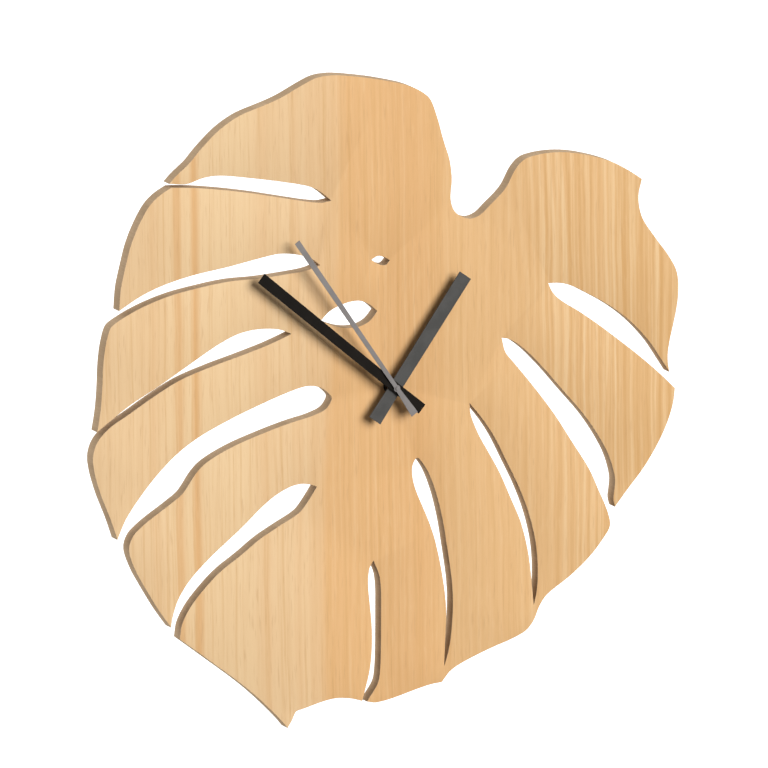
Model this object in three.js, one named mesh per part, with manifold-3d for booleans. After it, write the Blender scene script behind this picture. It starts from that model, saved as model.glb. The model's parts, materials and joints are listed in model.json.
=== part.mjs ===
// Leaf-shaped wall clock: a thin wooden board cut as a monstera leaf, three straight hands, and a
// battery movement behind it. Millimetres. The origin lies on the hand axis in the wall plane, which
// is the rear face of the movement. +Z is up, the clock faces -Y, and the wall is at +Y.
// Depths below are distances from the wall towards the viewer, so a depth d lies at y = -d.
import * as THREE from 'three';
import Module from 'manifold-3d';
import { mergeVertices } from 'three/addons/utils/BufferGeometryUtils.js';

const wasm = await Module();
wasm.setup();

// ---------------------------------------------------------------- driving dimensions
const CASE = { halfWidth: 28, bottom: -28.5, top: 27.5, depth: 16, corner: 4, wall: 1.2, front: 1.3 };
const COVER = { thickness: 1.3, gap: 0.2, bottom: -11.4 };
const BAY = { bottom: -27.2, top: -11.7, wallTop: -10.8, halfLength: 26.6, floor: 15 };
const BATTERY = {
  radius: 7.1, halfLength: 24.5, nubRadius: 2.7, nubLength: 0.9, chamfer: 0.5, depth: 7.9, height: -19.4,
};
const BOARD = { rear: 19, front: 27, hole: 4.2 };
const BUSHING = { radius: 3.5, bore: 2.8, flange: 5, rear: 13.9, shoulder: 14.5, front: 30.6 };
const TUBE = { hourRadius: 2.5, hourBore: 1.85, minuteRadius: 1.65, minuteBore: 0.75, arbor: 0.5 };
const FIT = 0.05;
const RUNNING_GAP = 0.15;
const PIVOT = { radius: 0.45, hole: 0.6, rear: 1.5, front: 8.9 };
const MID_PLATE = {
  rear: 8.3, front: 9.3, left: -22, right: 23, bottom: -9.9, top: 16.6, corner: 2,
  tubeHole: 1.6, motionHole: 0.75,
};

// Hands: reach and tail are measured from the hand axis, the turn is clockwise from twelve.
const HOUR_HAND = {
  rear: 33.2, front: 33.7, reach: 80, tail: 23.5, tipWidth: 9.3, waist: 8.5, tailWidth: 9.3,
};
const MINUTE_HAND = {
  rear: 34.4, front: 34.9, reach: 120, tail: 23, tipWidth: 6.9, waist: 6, tailWidth: 6.9,
};
const SECOND_HAND = {
  rear: 35.6, front: 36, reach: 119, tail: 21, tipWidth: 3.6, waist: 2.6, tailWidth: 4.8,
};
const HOUR_TURN = 36.3;
const MINUTE_TURN = 310.7;
const SECOND_TURN = 325.5;

// Wheel train: tooth counts and distances between axes.
const TEETH = {
  rotor: 12, intermediateWheel: 60, intermediatePinion: 10, secondWheel: 60, secondPinion: 8,
  thirdWheel: 64, thirdPinion: 8, driveWheel: 60, cannon: 10, motionWheel: 30, motionPinion: 8,
  hourWheel: 32, knob: 12,
};
const ROTOR_STEP = 7.2;
const INTERMEDIATE_STEP = 10.5;
const THIRD_STEP = 10.08;
const MOTION_STEP = 8;
const KNOB_STEP = 8.4;
const degrees = THREE.MathUtils.degToRad;

function stepFrom([x, z], distance, direction) {
  return [x + distance * Math.cos(degrees(direction)), z + distance * Math.sin(degrees(direction))];
}

const CENTRE = [0, 0];
const INTERMEDIATE_DIRECTION = 150;
const ROTOR_DIRECTION = 100;
const THIRD_DIRECTION = 40;
const MOTION_DIRECTION = -5;
const INTERMEDIATE = stepFrom(CENTRE, INTERMEDIATE_STEP, INTERMEDIATE_DIRECTION);
const ROTOR = stepFrom(INTERMEDIATE, ROTOR_STEP, ROTOR_DIRECTION);
const THIRD = stepFrom(CENTRE, THIRD_STEP, THIRD_DIRECTION);
const MOTION = stepFrom(CENTRE, MOTION_STEP, MOTION_DIRECTION);
const KNOB = stepFrom(MOTION, KNOB_STEP, MOTION_DIRECTION);

// ---------------------------------------------------------------- materials
function finish(color, roughness, metalness = 0) {
  return new THREE.MeshStandardMaterial({ color, roughness, metalness });
}

const pine = finish(0xe7bf88, 0.6);
const blackPaint = finish(0x1c1a16, 0.5, 0.2);
const greyPaint = finish(0x525458, 0.5, 0.2);
const silverPaint = finish(0x8c8a8e, 0.45, 0.3);
const blackPlastic = finish(0x202022, 0.55);
const whitePlastic = finish(0xe4e2dc, 0.5);
const redPlastic = finish(0xa53a2c, 0.5);
const steel = finish(0x9a9ca0, 0.35, 0.9);
const darkSteel = finish(0x3a3a3c, 0.45, 0.8);
const brass = finish(0xb9974a, 0.35, 0.9);
const rubber = finish(0x26262a, 0.9);
const copper = finish(0xa6552e, 0.4, 0.7);
const greenBoard = finish(0x2c5a34, 0.6);
const epoxy = finish(0x141416, 0.4);
const batteryJacket = finish(0x3c6e8f, 0.4, 0.2);
const ferrite = finish(0x45454a, 0.5, 0.4);

// ---------------------------------------------------------------- solids
const MERGE_DISTANCE = 1e-4;

function toSolid(geometry) {
  const bare = geometry.clone();
  bare.deleteAttribute('normal');
  bare.deleteAttribute('uv');
  const merged = mergeVertices(bare, MERGE_DISTANCE);
  return new wasm.Manifold(new wasm.Mesh({
    numProp: 3,
    vertProperties: new Float32Array(merged.attributes.position.array),
    triVerts: new Uint32Array(merged.index.array),
  }));
}

function toGeometry(solid) {
  const mesh = solid.getMesh();
  const geometry = new THREE.BufferGeometry();
  geometry.setAttribute('position', new THREE.BufferAttribute(new Float32Array(mesh.vertProperties), 3));
  geometry.setIndex(new THREE.BufferAttribute(new Uint32Array(mesh.triVerts), 1));
  return geometry;
}

function join(first, ...others) {
  return toGeometry(others.reduce((solid, other) => solid.add(toSolid(other)), toSolid(first)));
}

function cut(first, ...tools) {
  return toGeometry(tools.reduce((solid, tool) => solid.subtract(toSolid(tool)), toSolid(first)));
}

// A flat piece: a shape drawn in x and z, standing between two depths.
function plate(shape, rear, front, arcSteps = 12) {
  const settings = { depth: front - rear, bevelEnabled: false, curveSegments: arcSteps };
  const geometry = new THREE.ExtrudeGeometry(shape, settings);
  return geometry.rotateX(Math.PI / 2).translate(0, -rear, 0);
}

// A turned piece about the y axis: the profile is a closed loop of [radius, depth] corners.
function turned(profile, segments = 28) {
  const points = profile.map(([radius, depth]) => new THREE.Vector2(radius, -depth));
  points.push(points[0].clone());
  const area = points.slice(1).reduce((sum, p, i) => sum + points[i].x * p.y - p.x * points[i].y, 0);
  return new THREE.LatheGeometry(area > 0 ? points : points.reverse(), segments);
}

function ring(inner, outer, rear, front, segments = 28) {
  return turned([[inner, rear], [outer, rear], [outer, front], [inner, front]], segments);
}

function rod(radius, rear, front, [x, z] = CENTRE, segments = 20) {
  const geometry = new THREE.CylinderGeometry(radius, radius, front - rear, segments);
  return geometry.translate(x, -(rear + front) / 2, z);
}

function block(x0, x1, z0, z1, rear, front) {
  const geometry = new THREE.BoxGeometry(x1 - x0, front - rear, z1 - z0);
  return geometry.translate((x0 + x1) / 2, -(rear + front) / 2, (z0 + z1) / 2);
}

// How far a cutting tool reaches past the faces that it cuts.
const PAST = 1;

function polygon(corners) {
  return new THREE.Shape(corners.map(([x, z]) => new THREE.Vector2(x, z)));
}

function roundedRectangle(x0, x1, z0, z1, radius) {
  const shape = new THREE.Shape();
  shape.moveTo(x0 + radius, z0);
  shape.lineTo(x1 - radius, z0);
  shape.absarc(x1 - radius, z0 + radius, radius, -Math.PI / 2, 0);
  shape.lineTo(x1, z1 - radius);
  shape.absarc(x1 - radius, z1 - radius, radius, 0, Math.PI / 2);
  shape.lineTo(x0 + radius, z1);
  shape.absarc(x0 + radius, z1 - radius, radius, Math.PI / 2, Math.PI);
  shape.lineTo(x0, z0 + radius);
  shape.absarc(x0 + radius, z0 + radius, radius, Math.PI, Math.PI * 1.5);
  return shape;
}

function roundHole(shape, radius, [x, z] = CENTRE) {
  const hole = new THREE.Path();
  hole.absarc(x, z, radius, 0, Math.PI * 2, true);
  shape.holes.push(hole);
  return shape;
}

// ---------------------------------------------------------------- the assembly
const clock = new THREE.Group();

function place(name, geometry, material, { at = CENTRE, turn = 0 } = {}) {
  const mesh = new THREE.Mesh(geometry, material);
  mesh.name = name;
  mesh.position.set(at[0], 0, at[1]);
  mesh.rotation.y = turn;
  clock.add(mesh);
}

// ---------------------------------------------------------------- leaf board
// The outline runs clockwise as seen from the front. Each stretch is a smooth curve through its
// points, and two stretches meet in a corner of the leaf.
const LEAF_OUTLINE = [
  // top lobe, the notch beside it and the right shoulder
  [[-149, 141.2], [-142, 147.5], [-135.5, 152.3], [-128.5, 159.5], [-115, 171], [-101.5, 178.2], [-88, 182],
    [-74.5, 186], [-61, 191.8], [-51, 195.6], [-41, 196.5], [-20.5, 193.3], [0, 188.3], [13.5, 183.8],
    [22, 179],
    [27, 174.2], [32, 161.5], [36, 147.5], [40, 135.5], [41.5, 123], [40.8, 110.5], [44, 102.5],
    [53.7, 97.5],
    [60.5, 99], [67.3, 104.4], [77.5, 113.3], [85, 125.3], [91, 130.3], [101, 132.2], [115, 132],
    [128.3, 129.6],
    [148.5, 122.8], [162, 115.2], [170.5, 109.2]],
  // upper right lobe
  [[170.5, 109.2], [168.2, 98.5], [170.5, 86], [179, 72.7], [189, 59.2], [194.2, 49.5], [195.7, 39.5],
    [194.5, 27.3], [191.5, 14], [188.8, 2], [188.4, -5.6], [189.5, -13.2]],
  // slot between the two right lobes
  [[189.5, -13.2], [182.3, -2.2], [175.5, 7.7], [162, 22.2], [148.5, 32.9], [135, 41.2], [121.5, 48.6],
    [114.5, 50.7], [107, 51.4]],
  [[107, 51.4], [109.6, 46], [114.7, 40.5], [128.2, 31.4], [141.7, 21.4], [155.2, 10.6], [168.8, -0.6],
    [182.3, -12.7], [193.3, -23.5]],
  // lower right lobe
  [[193.3, -23.5], [192.4, -31], [189, -42.3], [182.3, -55.8], [172, -70.9], [162, -82.1], [152.5, -93.1]],
  // slot below it
  [[152.5, -93.1], [151.4, -88], [152.5, -76], [148.5, -61.3], [141.7, -48.4], [131.6, -33.6], [118, -17.7],
    [104.5, -1.9], [91, 12], [80.9, 19.4], [75.4, 21]],
  [[75.4, 21], [77.9, 12], [84.2, 4], [97.8, -12.7], [111.3, -30.7], [124.8, -51.5], [135, -67.5],
    [141.7, -82], [147.5, -95.3], [149.2, -104.5], [143, -113.8], [135, -122.4], [121.4, -133],
    [106, -142.8],
    [101, -149.5], [97.4, -157.4], [92.4, -163], [84, -166.8], [67.3, -171.7], [47, -179], [40.3, -182.8],
    [34.9, -188.8]],
  // bottom edge up to the bottom slot
  [[34.9, -188.8], [26.8, -189.4], [13.3, -192.2], [0, -195.2], [-10.4, -196.3], [-16, -195]],
  [[-16, -195], [-12.4, -190.2], [-8.4, -184], [-7, -175], [-6.5, -160], [-6.4, -140], [-6.5, -126],
    [-7.7, -117], [-11.5, -107.8]],
  [[-11.5, -107.8], [-14, -111.8], [-15.1, -121], [-14.3, -131], [-12.7, -147], [-12.5, -161],
    [-13.8, -174.6],
    [-16.5, -185.4], [-19, -194.3]],
  // bottom lobe with its drip tip
  [[-19, -194.3], [-27.3, -191.7], [-37, -190.5], [-47.6, -191.8], [-57.7, -194.3], [-63.8, -195.7],
    [-66.5, -200.6], [-69.6, -205.2]],
  [[-69.6, -205.2], [-74.6, -199.3], [-88.2, -185.4], [-101.7, -173.3], [-122, -157.2], [-142.3, -141.3]],
  // slot between the bottom lobe and the lowest left lobe
  [[-142.3, -141.3], [-140.8, -132.5], [-135.5, -122.9], [-128.7, -115], [-115.2, -102.8], [-101.7, -94.4],
    [-88.2, -85.4], [-74.6, -78.5], [-61.1, -71.6], [-54.4, -63.8], [-49.8, -57.3]],
  [[-49.8, -57.3], [-53.7, -55.6], [-61, -54.4], [-69.5, -56], [-81.4, -61.9], [-101.7, -78], [-122, -93.4],
    [-135.5, -105.8], [-143.3, -117], [-147.3, -128.5], [-148, -133.6]],
  // lowest left lobe and the round-ended slot above it
  [[-148, -133.6], [-156.5, -121.7], [-164.6, -108.4], [-172.1, -95], [-176.3, -82], [-173.8, -74.2],
    [-165.9, -67.3], [-149, -57.1], [-140, -51], [-132.1, -40.7], [-125.4, -34.6], [-108.5, -26.7],
    [-88.2, -20.6], [-67.9, -15.7], [-51, -12.5], [-43.2, -9.3], [-39.8, -3.5], [-42.2, 0], [-47.6, 4],
    [-56, 5.8], [-67.9, 3.7], [-88.2, -2.2], [-108.5, -9.1], [-128.7, -17.4], [-142.3, -25.3],
    [-155.8, -36.5],
    [-169.3, -51], [-178.8, -63.9], [-184, -75]],
  // middle left lobe
  [[-184, -75], [-188.2, -62.9], [-195.3, -45.3], [-199.6, -30.5], [-200.4, -22], [-197.6, -13.4],
    [-189.6, -5.4], [-176, 2], [-162.5, 9.4], [-142.3, 19], [-122, 24.9], [-101.7, 29.6], [-81.4, 34.7],
    [-66.9, 39.4]],
  [[-66.9, 39.4], [-74.6, 42.9], [-88.2, 44.7], [-101.7, 43.5], [-115.2, 38.6], [-135.5, 28],
    [-155.8, 17.1],
    [-176, 7], [-197.5, -6.8]],
  // upper left lobe
  [[-197.5, -6.8], [-195.3, 5.6], [-194.1, 19], [-193.2, 36], [-190.9, 49.8], [-188, 57], [-182.8, 60.4],
    [-169.3, 66.3], [-149, 72], [-128.7, 74.9], [-108.5, 76.6], [-88.2, 76.2], [-67.9, 76.9], [-56, 77.7],
    [-47.6, 79.8]],
  [[-47.6, 79.8], [-53, 84.2], [-61.8, 87.7], [-74.6, 89.8], [-88.2, 88.5], [-108.5, 85.7], [-135.5, 82.6],
    [-155.8, 78.2], [-169.3, 73.3], [-182.6, 66.4]],
  // highest left lobe
  [[-182.6, 66.4], [-181.5, 79.8], [-178.6, 92], [-174.5, 106.5], [-168, 120.3], [-161.7, 129.6],
    [-155, 135],
    [-147.7, 138.7]],
  [[-147.7, 138.7], [-135.5, 137.5], [-115.2, 134.1], [-94.9, 129.8], [-74.6, 124.8], [-54.4, 119.8],
    [-46, 118.4], [-40, 118.9]],
  [[-40, 118.9], [-47.6, 125.4], [-54.4, 129.1], [-67.9, 132.9], [-94.9, 138.9], [-117, 142.7],
    [-127, 142.1],
    [-137, 139.8], [-149, 141.2]],
];

// Holes inside the leaf, each a closed run of stretches.
const LEAF_HOLES = [
  // oval beside the hands
  [[[-46.8, 45.4], [-41, 50.5], [-30, 54.4], [-20.5, 54.7], [-13.6, 51.3], [-9, 47]],
    [[-9, 47], [-13.8, 41.8], [-20.6, 39], [-29, 38.9], [-38.5, 41.4], [-46.8, 45.4]]],
  // small eye above it
  [[[-12.8, 79.3], [-8.8, 81.1], [-5, 80.4], [-0.4, 77.6]], [[-0.4, 77.6], [-3.6, 75], [-8.6, 76.4],
    [-12.8, 79.3]]],
  // long hole below the hands
  [[[36.4, -179], [37.3, -160], [37.9, -145], [36.6, -131], [33.2, -112], [29.1, -96], [23.4, -81.3],
    [18.7, -70.8], [15.3, -60.5], [15, -51.5], [18, -47.2], [24.1, -54.3], [30.2, -68.4], [35.2, -87],
    [38.3, -104.7], [41.5, -125.6], [42.3, -138], [41.7, -153.5], [39.6, -168.8], [36.4, -179]]],
  // long hole to its right
  [[[53.6, -17.2], [54.5, -24.6], [59.9, -37.6], [66.7, -49.5], [74.1, -62.8], [81.5, -79.2], [88.3, -94.8],
    [93.4, -114.1], [95.7, -131], [97.3, -148]],
  [[97.3, -148], [99.6, -137], [99.7, -120], [98.1, -107], [93.7, -90], [87, -73], [78.8, -56.5],
    [70.7, -40.7], [63.3, -29.3], [53.6, -17.2]]],
];
const FINE_STEP = 0.5;
const LONGEST_CHORD = 7;
const SHARPEST_TURN = degrees(8.5);

// Points along a smooth stretch: one wherever it has turned or run far enough. The last point is
// left out, because the next stretch starts there.
function traced(points) {
  const corners = points.map(([x, z]) => new THREE.Vector3(x, z, 0));
  const curve = new THREE.CatmullRomCurve3(corners, false, 'centripetal');
  const fine = curve.getSpacedPoints(Math.ceil(curve.getLength() / FINE_STEP));
  const kept = [fine[0]];
  let turn = 0;
  for (let i = 1; i < fine.length - 1; i += 1) {
    const before = fine[i].clone().sub(fine[i - 1]);
    const after = fine[i + 1].clone().sub(fine[i]);
    turn += before.angleTo(after);
    if (turn > SHARPEST_TURN || fine[i].distanceTo(kept.at(-1)) > LONGEST_CHORD) {
      kept.push(fine[i]);
      turn = 0;
    }
  }
  return kept.map((p) => new THREE.Vector2(p.x, p.y));
}

function leafBoard() {
  const shape = new THREE.Shape(LEAF_OUTLINE.flatMap(traced).reverse());
  shape.holes = LEAF_HOLES.map((stretches) => new THREE.Path(stretches.flatMap(traced)));
  return plate(roundHole(shape, BOARD.hole), BOARD.rear, BOARD.front);
}

place('leaf_dial', leafBoard(), pine);

// ---------------------------------------------------------------- hands
function handShape({ reach, tail, tipWidth, waist, tailWidth }) {
  return polygon([
    [-tailWidth / 2, -tail], [tailWidth / 2, -tail], [waist / 2, 0],
    [tipWidth / 2, reach], [-tipWidth / 2, reach], [-waist / 2, 0],
  ]);
}

function handBlade(hand, bore, hub = 0) {
  const blade = plate(handShape(hand), hand.rear, hand.front);
  const widened = hub > 0 ? join(blade, rod(hub, hand.rear, hand.front)) : blade;
  return cut(widened, rod(bore, hand.rear - PAST, hand.front + PAST));
}

const HOUR_COLLAR = { outer: 3.5, rear: 32.1, overlap: 0.1 };
const SECOND_BUSH = { radius: 1.3, rear: 35.35, front: 36.7, chamfer: 0.3, cap: 0.5 };
const SECOND_HUB = 2.1;
const hourBlade = handBlade(HOUR_HAND, TUBE.hourRadius + FIT);
const hourCollar = ring(
  TUBE.hourRadius + FIT, HOUR_COLLAR.outer, HOUR_COLLAR.rear, HOUR_HAND.rear + HOUR_COLLAR.overlap, 20,
);
place('hour_hand', join(hourBlade, hourCollar), greyPaint, { turn: degrees(HOUR_TURN) });
const minuteBlade = handBlade(MINUTE_HAND, TUBE.minuteRadius + FIT);
place('minute_hand', minuteBlade, blackPaint, { turn: degrees(MINUTE_TURN) });
const secondBlade = handBlade(SECOND_HAND, SECOND_BUSH.radius + FIT, SECOND_HUB);
place('second_hand', secondBlade, silverPaint, { turn: degrees(SECOND_TURN) });

// The bush of the second hand is closed in front: the arbor ends under its cap.
function secondBush() {
  const { radius, rear, front, chamfer, cap } = SECOND_BUSH;
  const bore = TUBE.arbor + FIT;
  return turned([
    [bore, rear], [radius, rear], [radius, front - chamfer], [radius - chamfer, front],
    [0, front], [0, front - cap], [bore, front - cap],
  ], 20);
}

place('second_hand_bush', secondBush(), silverPaint);

// ---------------------------------------------------------------- fixing of the board
const HANGER = {
  rear: 16.2, front: 17, halfWidth: 11, bottom: -8, shelf: 27.8, sheet: 0.8,
  tabRear: 0.2, tabTop: 35.6, hole: 3.7,
};
const TAB_CORNER = { outerHeight: 29.9, middleHalf: 4.6, middleHeight: 33.9, topHalf: 2.4, topHeight: 35.1 };
const NAIL_HOLE = { bottom: 28.9, top: 33.7, bottomHalf: 3.6, topHalf: 2.4 };
const RUBBER = { rear: 17.2, front: 18.8, radius: 8.5 };
const WASHER = { rear: 27.2, front: 27.7, radius: 4.9 };
const NUT = { rear: 27.85, front: 29.6, acrossFlats: 8.6 };
const RUBBER_GAP = 0.3;
const THREAD_CHAMFER = 0.4;

// One bent sheet: flat against the movement, over its top, and up in the wall plane. Its side view
// is drawn in depth and height, then the top corners of the tab and the two holes are cut.
function hangerPlate() {
  const { rear, front, halfWidth, bottom, shelf, sheet, tabRear, tabTop } = HANGER;
  const shelfTop = shelf + sheet;
  const sideView = polygon([
    [rear, bottom], [front, bottom], [front, shelfTop], [tabRear + sheet, shelfTop],
    [tabRear + sheet, tabTop], [tabRear, tabTop], [tabRear, shelf], [rear, shelf],
  ]);
  const bent = plate(sideView, -halfWidth, halfWidth).rotateZ(-Math.PI / 2);
  const [cutRear, cutFront] = [tabRear - PAST, tabRear + sheet + PAST];
  const { outerHeight, middleHalf, middleHeight, topHalf, topHeight } = TAB_CORNER;
  const corners = [-1, 1].map((side) => plate(polygon([
    [side * (halfWidth + PAST), outerHeight], [side * middleHalf, middleHeight],
    [side * topHalf, topHeight], [side * topHalf, tabTop + PAST],
    [side * (halfWidth + PAST), tabTop + PAST],
  ]), cutRear, cutFront));
  const nail = plate(polygon([
    [-NAIL_HOLE.bottomHalf, NAIL_HOLE.bottom], [NAIL_HOLE.bottomHalf, NAIL_HOLE.bottom],
    [NAIL_HOLE.topHalf, NAIL_HOLE.top], [-NAIL_HOLE.topHalf, NAIL_HOLE.top],
  ]), cutRear, cutFront);
  return cut(bent, ...corners, nail, rod(HANGER.hole, rear - PAST, front + PAST, CENTRE, 28));
}

place('hanger_plate', hangerPlate(), steel);
const rubberWasher = ring(BUSHING.radius + RUBBER_GAP, RUBBER.radius, RUBBER.rear, RUBBER.front);
place('rubber_washer', rubberWasher, rubber);
const dialWasher = ring(BUSHING.radius + RUNNING_GAP, WASHER.radius, WASHER.rear, WASHER.front);
place('dial_washer', dialWasher, darkSteel);
const nutBlank = new THREE.CylinderGeometry(
  NUT.acrossFlats / Math.sqrt(3), NUT.acrossFlats / Math.sqrt(3), NUT.front - NUT.rear, 6,
).translate(0, -(NUT.rear + NUT.front) / 2, 0);
const nutBore = rod(BUSHING.radius + FIT, NUT.rear - PAST, NUT.front + PAST, CENTRE, 28);
place('dial_nut', cut(nutBlank, nutBore), darkSteel);
place('threaded_bushing', turned([
  [BUSHING.bore, BUSHING.rear], [BUSHING.flange, BUSHING.rear], [BUSHING.flange, BUSHING.shoulder],
  [BUSHING.radius, BUSHING.shoulder], [BUSHING.radius, BUSHING.front - THREAD_CHAMFER],
  [BUSHING.radius - THREAD_CHAMFER, BUSHING.front], [BUSHING.bore, BUSHING.front],
]), brass);

// ---------------------------------------------------------------- movement case
const INNER = {
  x: CASE.halfWidth - CASE.wall, top: CASE.top - CASE.wall, front: CASE.depth - CASE.front,
};
const PLATE_POSTS = [[-18, -7.8], [20.5, -8.2], [-19, 14], [13.2, 13.6]];
const BOARD_POSTS = [[12.2, 23.4], [22, 19]];
const POST_RADIUS = 1.3;
const OUTSIDE = 40;
const POST_GAP = 0.2;
const POST_ROOT = 0.3;
const BLIND_HOLE = { radius: 0.75, depth: 0.6 };
const PASSAGE = { inner: 24.8, rear: 4, front: 12 };
const LATCH = { heights: [-3, 17], half: 3, rear: 3.2, front: 6, depth: 0.5 };
const PCB = { x0: 9.6, x1: 25.2, z0: 16.3, z1: 25.8, rear: 5, front: 6, corner: 0.8 };

function caseOutline() {
  return roundedRectangle(-CASE.halfWidth, CASE.halfWidth, CASE.bottom, CASE.top, CASE.corner);
}

function caseFront() {
  const shell = plate(caseOutline(), 0, CASE.depth, 5);
  const coverSpace = block(
    -OUTSIDE, OUTSIDE, COVER.bottom - COVER.gap, OUTSIDE, -PAST, COVER.thickness + COVER.gap,
  );
  const trainSpace = block(-INNER.x, INNER.x, BAY.wallTop, INNER.top, -PAST, INNER.front);
  const batterySpace = block(-BAY.halfLength, BAY.halfLength, BAY.bottom, BAY.top, -PAST, BAY.floor);
  const passages = [[-INNER.x, -PASSAGE.inner], [PASSAGE.inner, INNER.x]].map(([from, to]) => block(
    from, to, BAY.top - PAST, BAY.wallTop + PAST, PASSAGE.rear, PASSAGE.front,
  ));
  const shaftHole = rod(BUSHING.radius + RUNNING_GAP, INNER.front - PAST, CASE.depth + PAST, CENTRE, 28);
  const pivotHoles = [MOTION, KNOB].map((at) => rod(
    BLIND_HOLE.radius, INNER.front - PAST, INNER.front + BLIND_HOLE.depth, at, 12,
  ));
  const latches = [-1, 1].flatMap((side) => LATCH.heights.map((z) => {
    const ends = [side * (CASE.halfWidth - LATCH.depth), side * (CASE.halfWidth + PAST)];
    const [x0, x1] = ends.sort((a, b) => a - b);
    return block(x0, x1, z - LATCH.half, z + LATCH.half, LATCH.rear, LATCH.front);
  }));
  const hollow = cut(shell, coverSpace, trainSpace, batterySpace, ...passages, ...latches);
  const standPosts = (places, rear) => places.map((at) => rod(
    POST_RADIUS, rear + POST_GAP, INNER.front + POST_ROOT, at, 12,
  ));
  const platePosts = standPosts(PLATE_POSTS, MID_PLATE.front);
  const boardPosts = standPosts(BOARD_POSTS, PCB.front);
  return cut(join(hollow, ...platePosts, ...boardPosts), shaftHole, ...pivotHoles);
}

const BOSS = { radius: 1.3, bore: 0.65, rear: 1, front: 2.3 };
const KNOB_WELL = { bore: 5.4, outer: 6.2, floor: 3, front: 3.8, stemHole: 1.65 };
const PANEL = { halfWidth: 25.6, bottom: -9.4, top: 25.1, corner: 2.4, depth: 0.4 };
const PAD_RADIUS = 3.6;
const COLLAR_RADIUS = 6.9;
const ARROW = { inner: 8, outer: 8.8, headHalf: 1, head: 2.2, from: 95, to: 205 };
const EJECTOR_MARKS = [[-22.3, 21.8], [22.3, 21.8], [-22.3, -6.2], [6, -6.2]];
const EJECTOR_RADIUS = 1.2;
const PLAQUE = { x0: -20, x1: 2, z0: 9.5, z1: 20.5, corner: 1.2 };

// The curved arrow round the setting knob: a band between two radii with a head at each end.
function arrowOutline() {
  const middle = (ARROW.inner + ARROW.outer) / 2;
  const at = (radius, angle) => stepFrom(KNOB, radius, angle);
  const headAngle = THREE.MathUtils.radToDeg(ARROW.head / middle);
  const steps = [0, 0.25, 0.5, 0.75, 1].map((share) => ARROW.from + share * (ARROW.to - ARROW.from));
  return [
    at(ARROW.inner - ARROW.headHalf, ARROW.from), at(middle, ARROW.from - headAngle),
    at(ARROW.outer + ARROW.headHalf, ARROW.from), ...steps.map((angle) => at(ARROW.outer, angle)),
    at(ARROW.outer + ARROW.headHalf, ARROW.to), at(middle, ARROW.to + headAngle),
    at(ARROW.inner - ARROW.headHalf, ARROW.to), ...steps.reverse().map((angle) => at(ARROW.inner, angle)),
  ];
}

// The sunk panel in the rear of the cover. The pad on the hand axis, the collar round the knob, the
// arrow, the blank plaque and the ejector marks are left standing in it.
function sunkPanel() {
  const { halfWidth, bottom, top, corner } = PANEL;
  const shape = roundedRectangle(-halfWidth, halfWidth, bottom, top, corner);
  roundHole(shape, PAD_RADIUS);
  roundHole(shape, COLLAR_RADIUS, KNOB);
  EJECTOR_MARKS.forEach((at) => roundHole(shape, EJECTOR_RADIUS, at));
  shape.holes.push(polygon(arrowOutline()));
  shape.holes.push(roundedRectangle(PLAQUE.x0, PLAQUE.x1, PLAQUE.z0, PLAQUE.z1, PLAQUE.corner));
  return plate(shape, -PAST, PANEL.depth, 8);
}

function caseBack() {
  const outline = plate(caseOutline(), 0, COVER.thickness, 5);
  const bayOpening = block(
    -OUTSIDE, OUTSIDE, -OUTSIDE, COVER.bottom, -PAST, COVER.thickness + PAST,
  );
  const cover = cut(outline, bayOpening, sunkPanel());
  const axes = [CENTRE, INTERMEDIATE, ROTOR, THIRD];
  const bosses = axes.map((at) => rod(BOSS.radius, BOSS.rear, BOSS.front, at, 14));
  const sockets = axes.map((at) => rod(BOSS.bore, COVER.thickness, BOSS.front + PAST, at, 12));
  const well = rod(KNOB_WELL.outer, BOSS.rear, KNOB_WELL.front, KNOB, 28);
  const wellSpace = rod(KNOB_WELL.bore, -PAST, KNOB_WELL.floor, KNOB, 28);
  const stemHole = rod(KNOB_WELL.stemHole, 0, KNOB_WELL.front + PAST, KNOB, 16);
  return cut(join(cover, well, ...bosses), ...sockets, wellSpace, stemHole);
}

function midPlate() {
  const { left, right, bottom, top, corner, rear, front, tubeHole, motionHole } = MID_PLATE;
  const blank = plate(roundedRectangle(left, right, bottom, top, corner), rear, front, 3);
  const hole = (radius, at, segments) => rod(radius, rear - PAST, front + PAST, at, segments);
  const pivots = [INTERMEDIATE, ROTOR, THIRD].map((at) => hole(PIVOT.hole, at, 12));
  return cut(
    blank, ...pivots, hole(tubeHole, CENTRE, 20), hole(motionHole, MOTION, 12),
    hole(KNOB_WELL.stemHole, KNOB, 16),
  );
}

place('case_front', caseFront(), blackPlastic);
place('case_back', caseBack(), blackPlastic);
place('mid_plate', midPlate(), whitePlastic);

// ---------------------------------------------------------------- battery and contacts
function battery() {
  const { radius, halfLength, nubRadius, nubLength, chamfer } = BATTERY;
  const cell = turned([
    [0, -halfLength], [radius - chamfer, -halfLength], [radius, chamfer - halfLength],
    [radius, halfLength - chamfer], [radius - chamfer, halfLength], [nubRadius, halfLength],
    [nubRadius, halfLength + nubLength], [0, halfLength + nubLength],
  ], 36);
  return cell.rotateZ(Math.PI / 2).translate(0, -BATTERY.depth, BATTERY.height);
}

const CONTACT = {
  inner: 25.7, sheet: 0.3, padBottom: -24.5, padTop: -14.5, padRear: 3.5, padFront: 12.5,
  stripRear: 6, stripFront: 9, footEnd: 22.6, footRear: 6.2, footFront: 6.5, footHeight: 3, footDrop: 0.3,
  positiveTop: 25.4, negativeTop: 22,
};

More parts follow.
